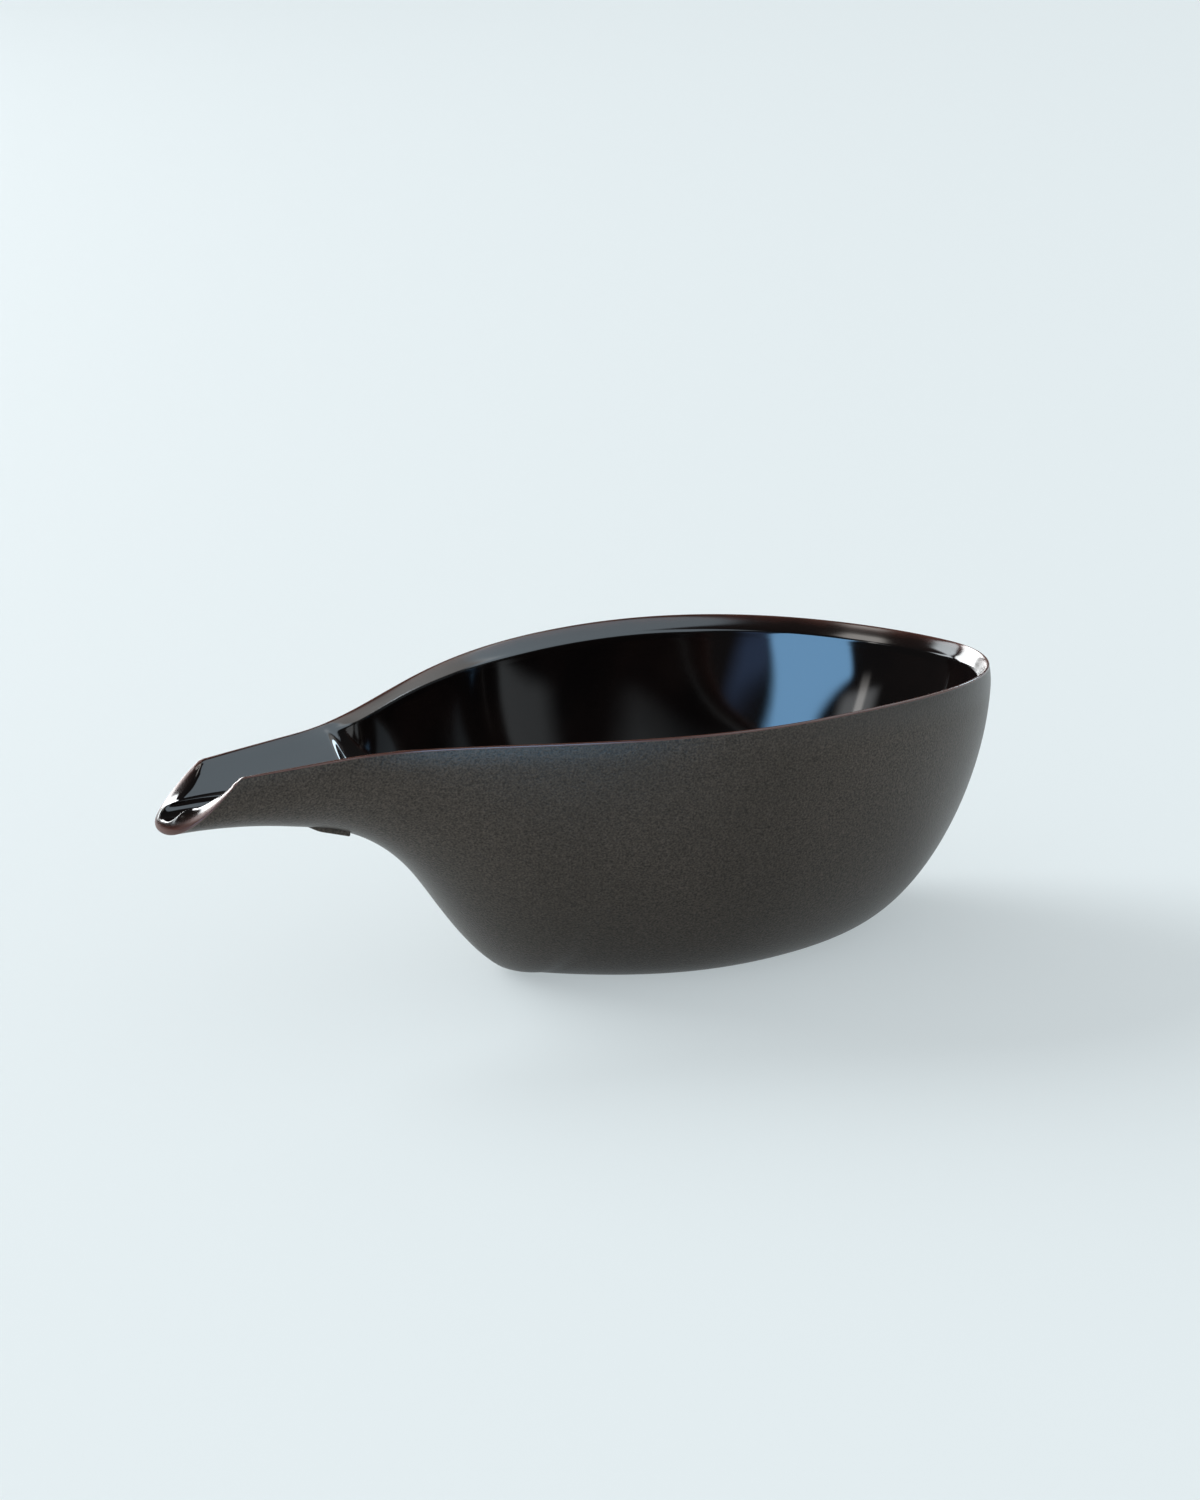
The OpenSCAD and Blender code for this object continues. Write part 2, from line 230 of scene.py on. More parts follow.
def aftRibs(t):
    p = bend(rimAft, t)
    r = np.stack([p[:, 0], p[:, 1], rimZ(p[:, 0])], -1)
    soleX, soleY = p[:, 0] * hull["footBack"] / sternX, p[:, 1] * hull["halfFoot"] / hull["halfWidth"]
    k = np.stack([soleX, soleY, 0 * t], -1)
    spread = (r - k) * (1, 1, 0)
    low = mix(hull["bilge"], hull["stern"], ease(t))[:, None]
    high = mix(hull["side"], hull["stern"], ease(t))
    p2 = r + hull["leanIn"] * spread
    p2[:, 2] -= high * r[:, 2]
    return np.stack([k, k + low * spread, p2, r], 1)


# ribs from the lip to the stern, closer together at the lip
spoutRun = jointX - tipX
lipTurn = np.linspace(0, math.pi / 2, fineness["lip"])
rootFrom = spoutRun - spoutRibs["rootRun"]
lipSteps = np.concatenate([
    mouth["flare"] * (1 - np.cos(lipTurn)),
    np.arange(spoutRibs["from"], spoutRibs["closeTo"], spoutRibs["close"]),
    np.arange(spoutRibs["closeTo"], rootFrom, spoutRibs["wide"]),
    np.linspace(rootFrom, spoutRun, spoutRibs["rootCount"]),
])
spoutShare = lipSteps / spoutRun
bowX = np.linspace(jointX, footX, fineness["bow"])[1:]
sideX = np.linspace(footX, 0, fineness["side"])[1:]
sternT = np.linspace(0, 1, fineness["stern"])[1:]
ribs = np.concatenate([
    foreRibs(mix(tipX, jointX, spoutShare), mix(cornerX, jointX, spoutShare), ease(spoutShare)),
    foreRibs(bowX, bowX, np.ones_like(bowX)),
    foreRibs(sideX, sideX, np.ones_like(sideX)),
    aftRibs(sternT),
])
ribCount = len(ribs)
jointRib = len(lipSteps) - 1
footRib = jointRib + len(bowX)
# the fold that the foot's tip would leave in the wall is rounded off over the ribs on both sides
fold = {"reach": 26, "full": 10, "spread": 6.0}
away = np.arange(-fold["reach"], fold["reach"] + 1)
kernel = np.exp(-0.5 * (away / fold["spread"]) ** 2)
kernel /= kernel.sum()
near = np.arange(footRib - fold["reach"], footRib + fold["reach"] + 1)
rounded = np.einsum("k,ikrc->irc", kernel, ribs[near[:, None] + away, 1:3])
strength = 1 - ease((np.abs(away) - fold["full"]) / (fold["reach"] - fold["full"]))
ribs[near, 1:3] = mix(ribs[near, 1:3], rounded, strength[:, None, None])
ribGap = np.linalg.norm(np.diff(ribs.mean(1), axis=0), axis=-1)
ribRun = np.gradient(ribs, np.concatenate([[0], np.cumsum(ribGap)]), axis=0)
ribNumber = np.arange(ribCount, dtype=float)

# how thick the clay is along the ribs: at the foot, at the rim, and how it swells between them
spoutPart = np.concatenate([spoutShare, np.ones(ribCount - len(spoutShare))])
footWallRow = mix(mouth["wall"], hull["wall"], spoutPart)
rimX = ribs[:, 3, 0]
ridgeX = rootX + mouth["ridgeFrom"] * mouth["jointBehind"]
past = np.maximum(rimX - ridgeX, 0)
turnRun = mouth["ridgeRound"]
past = np.where(past < turnRun, past ** 2 / (2 * turnRun), past - turnRun / 2)
bowlPart = 1 - (1 - np.clip(past / mouth["ridgeFade"], 0, 1)) ** 2
sternPart = ease((rimX - hull["sternFrom"] * sternX) / (hull["sternRun"] * sternX))
rimWallRow = mix(mouth["rimWall"], hull["rimWall"], bowlPart)
reachRow = mix(mouth["swellReach"], hull["swellReach"], bowlPart)
flareRow = np.concatenate([np.sin(lipTurn), np.ones(ribCount - len(lipTurn))])
ridgeAt = np.clip(rimX, rootX, ridgeX)
bentAway = rimY(ridgeAt) - mouth["rootHalf"] - sideTaper * (ridgeAt - rootX)
troughSwell = mouth["swell"] + mouth["ridgeSwell"] * bentAway
swellRow = mix(troughSwell, mix(hull["sideSwell"], hull["sternSwell"], sternPart), bowlPart)
swellRow *= mix(mouth["lipSwell"], 1, flareRow)
print("hull:", ribCount, "ribs")


def hullAt(u, v):
    # at rib u and share v of its height: point of the rib, inward normal, clay thickness, outside point
    u, v = np.broadcast_arrays(np.asarray(u, float), np.asarray(v, float))
    low = np.clip(np.floor(u).astype(int), 0, ribCount - 2)
    f = (u - low)[..., None, None]
    rib, run = mix(ribs[low], ribs[low + 1], f), mix(ribRun[low], ribRun[low + 1], f)
    s = 1 - v
    weight = np.stack([s ** 3, 3 * s * s * v, 3 * s * v * v, v ** 3], -1)
    climb = np.stack([-3 * s * s, 3 * s * s - 6 * s * v, 6 * s * v - 3 * v * v, 3 * v * v], -1)
    at = np.einsum("...r,...rc->...c", weight, rib)
    inward = np.cross(np.einsum("...r,...rc->...c", weight, run), np.einsum("...r,...rc->...c", climb, rib))
    inward[..., 1] = np.where(at[..., 1] < middleGap, 0, inward[..., 1])
    inward = unit(inward)
    drop = np.linalg.norm(rib[..., 3, :] - at, axis=-1)
    row = [np.interp(u, ribNumber, r) for r in (footWallRow, rimWallRow, swellRow, reachRow)]
    q = np.clip(drop / row[3], 0, 1)
    swell = row[2] * q * (1.5 - 0.5 * q * q) * ease(v / hull["swellFoot"])
    clay = (mix(row[0], row[1], v) + swell)[..., None]
    lean = hull["shoulder"] * np.clip(1 - drop / hull["shoulderReach"], 0, 1) ** 2
    lean = lean * np.interp(u, ribNumber, mix(hull["lipShoulder"], 1, spoutPart))
    return at, inward, clay, at + lean[..., None] * inward


def outside(u, v):
    return hullAt(u, v)[3]


def clayInside(u, v):
    at, inward, clay, _ = hullAt(u, v)
    return at + clay * inward


def glazeInside(u, v):
    at, inward, clay, _ = hullAt(u, v)
    return at + (clay + hull["glaze"]) * inward


def shareAtDrop(u, drop):
    # share of a rib's height at which it is that far below the rim
    low, high = np.zeros_like(u), np.ones_like(u)
    rimAt = hullAt(u, np.ones_like(u))[0][..., 2]
    for _ in range(halvings):
        mid = (low + high) / 2
        under = hullAt(u, mid)[0][..., 2] < rimAt - drop
        low, high = np.where(under, mid, low), np.where(under, high, mid)
    return (low + high) / 2


# the skin tree takes one closed loop of points per rib, each round half the piece, and gives the whole solid
def buildSkinTree():
    tree = bpy.data.node_groups.new("skinSections", "GeometryNodeTree")
    new = tree.interface.new_socket
    new("Sections Cloud", in_out="INPUT", socket_type="NodeSocketGeometry")
    ids = {}
    asked = (("Sections", "Int"), ("Points Round", "Int"), ("Weld", "Float"), ("Finish", "Material"))
    for title, kind in asked:
        ids[title] = new(title, in_out="INPUT", socket_type="NodeSocket" + kind).identifier
    new("Piece", in_out="OUTPUT", socket_type="NodeSocketGeometry")

    def add(kind, **values):
        node = tree.nodes.new(kind)
        for key, value in values.items():
            setattr(node, key, value)
        return node

    def whole(operation, a, b):
        node = add("FunctionNodeIntegerMath", operation=operation)
        for slot, value in enumerate((a, b)):
            if isinstance(value, int):
                node.inputs[slot].default_value = value
            else:
                tree.links.new(value, node.inputs[slot])
        return node.outputs[0]

    def join(a, b):
        tree.links.new(a, b)

    def sample(kind, value):
        node = add("GeometryNodeSampleIndex", data_type=kind)
        for title, socket in (("Geometry", given["Sections Cloud"]), ("Value", value), ("Index", source)):
            join(socket, node.inputs[title])
        return node.outputs["Value"]

    given = add("NodeGroupInput").outputs
    index = add("GeometryNodeInputIndex").outputs[0]
    columns = whole("ADD", given["Points Round"], 1)
    row = whole("DIVIDE_FLOOR", index, columns)
    # the last column meets the first
    column = whole("MODULO", whole("MODULO", index, columns), given["Points Round"])
    source = whole("ADD", whole("MULTIPLY", row, given["Points Round"]), column)

    grid = add("GeometryNodeMeshGrid")
    join(given["Sections"], grid.inputs["Vertices X"])
    join(columns, grid.inputs["Vertices Y"])
    edgeShare = add("GeometryNodeInputNamedAttribute", data_type="FLOAT")
    edgeShare.inputs["Name"].default_value = "edgeShare"
    place = sample("FLOAT_VECTOR", add("GeometryNodeInputPosition").outputs[0])
    edge = sample("FLOAT", edgeShare.outputs["Attribute"])

    store = add("GeometryNodeStoreNamedAttribute", data_type="FLOAT", domain="POINT")
    store.inputs["Name"].default_value = "edgeShare"
    join(grid.outputs["Mesh"], store.inputs["Geometry"])
    join(edge, store.inputs["Value"])
    lay = add("GeometryNodeSetPosition")
    join(store.outputs["Geometry"], lay.inputs["Geometry"])
    join(place, lay.inputs["Position"])

    # faces on the middle plane are inside the piece, so they go before the mirrored half is welded on
    split = add("ShaderNodeSeparateXYZ")
    join(add("GeometryNodeInputPosition").outputs[0], split.inputs[0])
    onMiddle = add("FunctionNodeCompare", data_type="FLOAT", operation="LESS_THAN")
    join(split.outputs["Y"], onMiddle.inputs["A"])
    join(given["Weld"], onMiddle.inputs["B"])
    cut = add("GeometryNodeDeleteGeometry", domain="FACE")
    join(lay.outputs["Geometry"], cut.inputs["Geometry"])
    join(onMiddle.outputs["Result"], cut.inputs["Selection"])
    mirror = add("GeometryNodeTransform")
    mirror.inputs["Scale"].default_value = (1, -1, 1)
    join(cut.outputs["Geometry"], mirror.inputs["Geometry"])
    turn = add("GeometryNodeFlipFaces")
    join(cut.outputs["Geometry"], turn.inputs["Mesh"])
    both = add("GeometryNodeJoinGeometry")
    join(turn.outputs["Mesh"], both.inputs["Geometry"])
    join(mirror.outputs["Geometry"], both.inputs["Geometry"])
    weld = add("GeometryNodeMergeByDistance")
    join(both.outputs["Geometry"], weld.inputs["Geometry"])
    join(given["Weld"], weld.inputs["Distance"])
    smooth = add("GeometryNodeSetShadeSmooth")
    join(weld.outputs["Geometry"], smooth.inputs["Geometry"])
    real = add("GeometryNodeRealizeInstances")
    join(smooth.outputs["Geometry"], real.inputs["Geometry"])
    finish = add("GeometryNodeSetMaterial")
    join(real.outputs["Geometry"], finish.inputs["Geometry"])
    join(given["Finish"], finish.inputs["Material"])
    join(finish.outputs["Geometry"], add("NodeGroupOutput").inputs["Piece"])
    return tree, ids


skinTree, skinSocket = buildSkinTree()
weldGap = 2e-6
sharpFrom = math.radians(50)


def skinPiece(name, loops, material, node, edgeShare=None):
    cloud = bpy.data.meshes.new(name + "Sections")
    cloud.from_pydata((loops.reshape(-1, 3) * mm).tolist(), [], [])
    share = cloud.attributes.new("edgeShare", "FLOAT", "POINT")
    if edgeShare is None:
        edgeShare = np.zeros(len(cloud.vertices))
    share.data.foreach_set("value", edgeShare.ravel())
    piece = bpy.data.objects.new(name, cloud)
    scene.collection.objects.link(piece)
    skin = piece.modifiers.new("skin", "NODES")
    skin.node_group = skinTree
    count, around = loops.shape[:2]
    values = {"Sections": count, "Points Round": around, "Weld": weldGap, "Finish": material}
    for title, value in values.items():
        skin[skinSocket[title]] = value
    seen = bpy.context.evaluated_depsgraph_get()
    whole = piece.evaluated_get(seen)
    made = bpy.data.meshes.new_from_object(whole, preserve_all_data_layers=True, depsgraph=seen)
    piece.modifiers.remove(skin)
    piece.data = made
    made.name = name
    made.set_sharp_from_angle(angle=sharpFrom)
    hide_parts(node)
    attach(piece, "root")
    print("made", name, len(made.polygons), "faces")


def folded(loop):
    # a section drawn in to the middle of the wall
    return (loop + loop[::-1]) / 2


def capped(loops, end=True):
    # open ends are closed by a folded section
    last = [folded(loops[-1])[None]] if end else []
    return np.concatenate([folded(loops[0])[None], loops, *last])


# finishes
def newMaterial(name):
    material = bpy.data.materials.new(name)
    material.use_nodes = True
    return material, material.node_tree, material.node_tree.nodes["Principled BSDF"]


mottleForm = {"driftDetail": 3, "grainDetail": 2, "grainRough": 0.5, "grainWarp": 0.2, "streakRun": 0.05}


def buildMottle():
    # broad drift, fine grain and drawn-out streaks of a kiln-fired surface
    tree = bpy.data.node_groups.new("firedMottle", "ShaderNodeTree")
    new = tree.interface.new_socket
    for title, value in (("Broad", 28.0), ("Fine", 900.0), ("Stretch", 1.7)):
        new(title, in_out="INPUT", socket_type="NodeSocketFloat").default_value = value
    for title in ("Drift", "Grain", "Streak"):
        new(title, in_out="OUTPUT", socket_type="NodeSocketFloat")
    given, out = tree.nodes.new("NodeGroupInput"), tree.nodes.new("NodeGroupOutput")
    where = tree.nodes.new("ShaderNodeTexCoord")
    drift = tree.nodes.new("ShaderNodeTexNoise")
    drift.inputs["Detail"].default_value = mottleForm["driftDetail"]
    tree.links.new(where.outputs["Object"], drift.inputs["Vector"])
    tree.links.new(given.outputs["Broad"], drift.inputs["Scale"])
    upright = tree.nodes.new("ShaderNodeCombineXYZ")
    upright.inputs["X"].default_value = 1
    upright.inputs["Y"].default_value = 1
    tree.links.new(given.outputs["Stretch"], upright.inputs["Z"])
    drawn = tree.nodes.new("ShaderNodeVectorMath")
    drawn.operation = "MULTIPLY"
    tree.links.new(where.outputs["Object"], drawn.inputs[0])
    tree.links.new(upright.outputs[0], drawn.inputs[1])
    grain = tree.nodes.new("ShaderNodeTexNoise")
    grain.inputs["Detail"].default_value = mottleForm["grainDetail"]
    grain.inputs["Roughness"].default_value = mottleForm["grainRough"]
    grain.inputs["Distortion"].default_value = mottleForm["grainWarp"]
    tree.links.new(drawn.outputs[0], grain.inputs["Vector"])
    tree.links.new(given.outputs["Fine"], grain.inputs["Scale"])
    lines = tree.nodes.new("ShaderNodeMapping")
    lines.inputs["Scale"].default_value = (mottleForm["streakRun"], mottleForm["streakRun"], 1)
    tree.links.new(where.outputs["Object"], lines.inputs["Vector"])
    streak = tree.nodes.new("ShaderNodeTexNoise")
    streak.inputs["Detail"].default_value = mottleForm["grainDetail"]
    tree.links.new(lines.outputs[0], streak.inputs["Vector"])
    tree.links.new(given.outputs["Fine"], streak.inputs["Scale"])
    for source, title in ((drift, "Drift"), (grain, "Grain"), (streak, "Streak")):
        tree.links.new(source.outputs[0], out.inputs[title])
    return tree


firedMottle = buildMottle()


def addMottle(tree, **values):
    node = tree.nodes.new("ShaderNodeGroup")
    node.node_tree = firedMottle
    for title, value in values.items():
        node.inputs[title].default_value = value
    return node.outputs


def edgeFactor(tree):
    # the mesh's own edgeShare
    node = tree.nodes.new("ShaderNodeAttribute")
    node.attribute_name = "edgeShare"
    return node.outputs["Fac"]


def objectAxes(tree):
    node = tree.nodes.new("ShaderNodeSeparateXYZ")
    tree.links.new(tree.nodes.new("ShaderNodeTexCoord").outputs["Object"], node.inputs[0])
    return node.outputs


def calc(tree, operation, *values):
    node = tree.nodes.new("ShaderNodeMath")
    node.operation = operation
    for socket, value in zip(node.inputs, values):
        if isinstance(value, float):
            socket.default_value = value
        else:
            tree.links.new(value, socket)
    return node.outputs[0]


def ramp(tree, source, places, colours):
    node = tree.nodes.new("ShaderNodeValToRGB")
    stops = node.color_ramp.elements
    while len(stops) < len(places):
        stops.new(0.5)
    for stop, place, colour in zip(stops, places, colours):
        stop.position = place
        stop.color = (*colour, 1)
    tree.links.new(source, node.inputs["Fac"])
    return node.outputs["Color"]


def span(tree, source, low, high, start=0.0, end=1.0):
    node = tree.nodes.new("ShaderNodeMapRange")
    for title, value in (("From Min", start), ("From Max", end), ("To Min", low), ("To Max", high)):
        node.inputs[title].default_value = value
    tree.links.new(source, node.inputs["Value"])
    return node.outputs["Result"]


def bump(tree, source, distance, strength, below=None):
    node = tree.nodes.new("ShaderNodeBump")
    node.inputs["Distance"].default_value = distance
    node.inputs["Strength"].default_value = strength
    tree.links.new(source, node.inputs["Height"])
    if below is not None:
        tree.links.new(below, node.inputs["Normal"])
    return node.outputs["Normal"]


def blend(tree, kind, a, b, share=None):
    # two colours, or a colour and a value, mixed or multiplied
    node = tree.nodes.new("ShaderNodeMix")
    node.data_type = "RGBA"
    node.blend_type = kind
    node.clamp_factor = True
    node.inputs["Factor"].default_value = 1
    for title, value in (("A", a), ("B", b), ("Factor", share)):
        socket = next(i for i in node.inputs if i.name == title and i.enabled)
        if isinstance(value, (tuple, float)):
            socket.default_value = (*value, 1) if isinstance(value, tuple) else (value, value, value, 1)
        elif value is not None:
            tree.links.new(value, socket)
    return next(o for o in node.outputs if o.enabled)


clayFinish = {
    "dark": (0.0349, 0.0285, 0.0241),
    "light": (0.0518, 0.0424, 0.0361),
    "drift": (0.3, 0.7),                # from dark to light
    "speckle": (0.0, 2.0, 0.24, 0.76),  # how far the grain darkens and lightens the clay
    "smooth": (0.060, 0.059, 0.060),    # painted sheen: a lighter grey painted on the clay just below the rim, where it is also smoother
    "paintedSheenShare": 0.6,
    "footToRim": (0.86, 1.12),          # painted shade: darker at the foot, lighter towards the rim
    "rimHeight": 0.055,                 # in metres
    "roughness": (0.28, 0.42),
    "smoothRough": 0.30,
    "ior": 1.40,
    "sheen": (1.0, 0.90, 0.78),         # its reflections are warm
    "grain": (0.00012, 0.8),            # depth and strength
    "streak": (0.00002, 0.6),
}
stoneware, tree, shader = newMaterial("stoneware")
mottle = addMottle(tree, Broad=24.0, Fine=2300.0, Stretch=1.2)
rimSheenMask = edgeFactor(tree)
colour = ramp(tree, mottle["Drift"], clayFinish["drift"], (clayFinish["dark"], clayFinish["light"]))
colour = blend(tree, "MULTIPLY", colour, span(tree, mottle["Grain"], *clayFinish["speckle"]))
# painted shade: the clay is painted darker towards the foot and lighter towards the rim
paintedShade = span(tree, objectAxes(tree)["Z"], *clayFinish["footToRim"], 0.0, clayFinish["rimHeight"])
colour = blend(tree, "MULTIPLY", colour, paintedShade)
# painted sheen: just below the rim the clay is painted a lighter, cooler grey
paintedSheenMix = span(tree, rimSheenMask, 0.0, clayFinish["paintedSheenShare"])
colour = blend(tree, "MIX", colour, clayFinish["smooth"], paintedSheenMix)
tree.links.new(colour, shader.inputs["Base Color"])
rough = span(tree, mottle["Grain"], *clayFinish["roughness"])
rough = blend(tree, "MIX", rough, clayFinish["smoothRough"], rimSheenMask)
tree.links.new(rough, shader.inputs["Roughness"])
streaks = bump(tree, mottle["Streak"], *clayFinish["streak"])
grain = bump(tree, mottle["Grain"], *clayFinish["grain"], streaks)
tree.links.new(grain, shader.inputs["Normal"])
shader.inputs["IOR"].default_value = clayFinish["ior"]
shader.inputs["Specular Tint"].default_value = (*clayFinish["sheen"], 1)

glazeFinish = {
    "dark": (0.004, 0.0032, 0.0035),
    "light": (0.010, 0.0065, 0.006),
    "drift": (0.35, 0.7),
    "roughness": (0.045, 0.085),
    "ior": 1.62,
    "wave": (0.00004, 0.3),             # depth and strength
}
blackGlaze, tree, shader = newMaterial("blackGlaze")
mottle = addMottle(tree, Broad=60.0, Fine=260.0, Stretch=1.0)
colour = ramp(tree, mottle["Drift"], glazeFinish["drift"], (glazeFinish["dark"], glazeFinish["light"]))
tree.links.new(colour, shader.inputs["Base Color"])
tree.links.new(span(tree, mottle["Drift"], *glazeFinish["roughness"]), shader.inputs["Roughness"])
tree.links.new(bump(tree, mottle["Drift"], *glazeFinish["wave"]), shader.inputs["Normal"])
shader.inputs["IOR"].default_value = glazeFinish["ior"]

rimFinish = {
    "colours": (                # from the glaze of the well over brown and red to the worn crest
        (0.006, 0.0045, 0.0045),
        (0.016, 0.007, 0.0052),
        (0.070, 0.022, 0.015),
        (0.115, 0.045, 0.032),
    ),
    "breaks": (0.2, 0.62, 0.9, 1.0),
    "uneven": 0.3,              # how far the mottle shifts the breaks
    "roughness": (0.08, 0.22),
    "lipRough": 0.16,           # the coat is thin and duller round the lip
    "lipFrom": -0.110,          # between these places, in metres
    "lipTo": -0.118,
    "ior": 1.62,
    "wave": (0.00001, 0.3),
}
rimGlaze, tree, shader = newMaterial("rimGlaze")
mottle = addMottle(tree, Broad=180.0, Fine=1100.0, Stretch=1.0)
edge = edgeFactor(tree)
broken = calc(tree, "MULTIPLY_ADD", mottle["Drift"], rimFinish["uneven"], edge)
colour = ramp(tree, broken, rimFinish["breaks"], rimFinish["colours"])
tree.links.new(colour, shader.inputs["Base Color"])
lipRange = (rimFinish["lipFrom"], rimFinish["lipTo"])
atLip = span(tree, objectAxes(tree)["X"], 0.0, rimFinish["lipRough"], *lipRange)
rough = calc(tree, "MULTIPLY_ADD", atLip, edge, span(tree, edge, *rimFinish["roughness"]))
tree.links.new(rough, shader.inputs["Roughness"])
tree.links.new(bump(tree, mottle["Drift"], *rimFinish["wave"]), shader.inputs["Normal"])
shader.inputs["IOR"].default_value = rimFinish["ior"]
print("finishes ready")

# the sloped edge: how far it drops inside the rim, and where the lining meets it
edgeShape = {
    "bowlDrop": 2.6,
    "lipDrop": 0.8,
    "dropFrom": -108.0,         # the coat reaches further down between these places along the rim
    "dropTo": -84.0,
    "bandFrom": -84.0,          # and parts from the trough's side as a sloped band between these
    "bandTo": -76.5,
    "rootDrop": 1.2,            # the band is narrow at the root and widens between these places
    "wideFrom": -64.0,
    "wideTo": -12.0,
    "leastSlope": 0.2,
    "lap": 1.8,                 # the coat runs on over the lining for this far below the slope
    "lipLap": 0.6,
    "liningUp": 0.7,            # the lining ends under the coat, this share of the lap below the slope
    "proud": 0.012,             # and the coat lies this much above it
    "beadDrop": 0.3,            # the coat laps over the outside by this much
    "lipBead": 0.8,             # and by this much under the lip
    "lipBeadBy": 0.5,           # which it reaches at this share of the way from corner to keel
    "bead": 0.05,
    "clayDrop": 0.3,            # the clay's outside ends this far below the rim, under the coat
    "clayCrest": (0.35, -0.12),     # its crest lies this far inward of the rim and upward
    "clayTip": 0.15,            # and its end is this far behind the tip
    "lipRound": 0.20,           # the lip's half-round edge, as a share of its thickness
    "stepsOver": 38,
    "stepsUnder": 10,
}
bandShare = ease((rimX - edgeShape["bandFrom"]) / (edgeShape["bandTo"] - edgeShape["bandFrom"]))
widening = ease((rimX - edgeShape["wideFrom"]) / (edgeShape["wideTo"] - edgeShape["wideFrom"]))
rootDrop = mix(edgeShape["rootDrop"], edgeShape["bowlDrop"], widening)
dropShare = ease((rimX - edgeShape["dropFrom"]) / (edgeShape["dropTo"] - edgeShape["dropFrom"]))
dropRow = mix(edgeShape["lipDrop"], rootDrop, dropShare)
lapRow = mix(edgeShape["lipLap"], edgeShape["lap"], dropShare)
slopeShare = shareAtDrop(ribNumber, dropRow)
lapShare = shareAtDrop(ribNumber, dropRow + lapRow)
liningShare = shareAtDrop(ribNumber, dropRow + lapRow * edgeShape["liningUp"])
clayTopShare = shareAtDrop(ribNumber, edgeShape["clayDrop"])
up = np.linspace(0, 1, fineness["up"])
# the zone below the rim that is smoother and has a painted sheen: how far down it is full and ends, and
# where it sets in along the rim
rimSheenBand = {"full": 2.5, "to": 6.5, "from": -25.0, "run": 50.0}
# at the lip the edge coat ends at one rib, and the lining starts a rib before it
lipRib = int(np.searchsorted(lipSteps, edgeShape["lipDrop"] + edgeShape["lipLap"]))
liningRib = lipRib - 1


def claySections(first, last):
    u = ribNumber[first:last + 1, None]
    outer = outside(u, clayTopShare[first:last + 1, None] * up)
    inner = clayInside(u, slopeShare[first:last + 1, None] * up)
    _, inward, _, rim = hullAt(u, np.ones_like(u))
    crest = rim + edgeShape["clayCrest"][0] * inward
    crest[..., 2] += edgeShape["clayCrest"][1]
    return np.concatenate([outer, crest, inner[:, ::-1]], 1)


def rimSheenZone(loops):
    # 1 at the rim, 0 from a few millimetres below it; this zone is smoother and has a painted sheen
    below = loops[:, len(up):len(up) + 1, 2] - loops[..., 2]
    aft = ease((loops[..., 0] - rimSheenBand["from"]) / rimSheenBand["run"])
    return aft * np.clip((rimSheenBand["to"] - below) / (rimSheenBand["to"] - rimSheenBand["full"]), 0, 1)


def fromMiddle(line):
    # points from the middle plane out to a line along the part
    across = np.linspace(0, 1, fineness["floor"])[:, None]
    return line[:, None] * (1, 0, 1) + line[:, None] * (0, 1, 0) * across


def liningSections(first, last):
    u = ribNumber[first:last + 1, None]
    share = liningShare[first:last + 1, None] * up
    sheets = []
    for wall in (clayInside(u, share), glazeInside(u, share)):
        sheets.append(np.concatenate([fromMiddle(wall[:, 0])[:, :-1], wall], 1))
    return np.concatenate([sheets[0], sheets[1][:, ::-1]], 1)


# clay: wall, base slab, spout
wallLoops = capped(claySections(jointRib, ribCount - 1), end=False)
skinPiece("bowlWall", wallLoops, stoneware, "bowl_wall", rimSheenZone(wallLoops))

sole = fromMiddle(ribs[footRib:, 0])
baseLoops = np.concatenate([sole, sole[:, ::-1] + (0, 0, hull["wall"])], 1)
skinPiece("baseSlab", baseLoops, stoneware, "base")

spoutLoops = claySections(0, jointRib)
spoutLoops[0] = folded(spoutLoops[0]) + (edgeShape["clayTip"], 0, 0)
spoutLoops = np.concatenate([spoutLoops, folded(spoutLoops[-1])[None]])
skinPiece("spoutTrough", spoutLoops, stoneware, "spout", rimSheenZone(spoutLoops))

# glaze lining of bowl and spout
bowlLoops = capped(liningSections(jointRib, ribCount - 1), end=False)
skinPiece("bowlLining", bowlLoops, blackGlaze, "bowl_glaze")
troughLoops = capped(liningSections(liningRib, jointRib))
skinPiece("spoutLining", troughLoops, blackGlaze, "spout_glaze")


# edge coat: a section swept along the rim from the stern to the lip, round its corner and down to the keel
def edgePath():
    rimU = ribNumber[:lipRib - 1:-1]
    outerEdge = [np.stack([rimU, np.ones_like(rimU)], -1)]
    innerEdge = [np.stack([rimU, lapShare[:lipRib - 1:-1]], -1)]
    cornerShare = lapShare[lipRib]
    along, down = fineness["cornerAlong"], fineness["cornerDown"]
    cornerU = np.concatenate([np.linspace(lipRib, 0, along + 1)[1:], np.zeros(down)])
    cornerV = np.concatenate([np.ones(along), np.linspace(1, cornerShare, down + 1)[1:]])
    outerEdge.append(np.stack([cornerU, cornerV], -1))
    innerEdge.append(np.stack([np.full_like(cornerU, lipRib), np.full_like(cornerU, cornerShare)], -1))
    lipV = (cornerShare * up)[-2::-1]
    outerEdge.append(np.stack([np.zeros_like(lipV), lipV], -1))
    innerEdge.append(np.stack([np.full_like(lipV, lipRib), lipV], -1))
    return np.concatenate(outerEdge), np.concatenate(innerEdge)


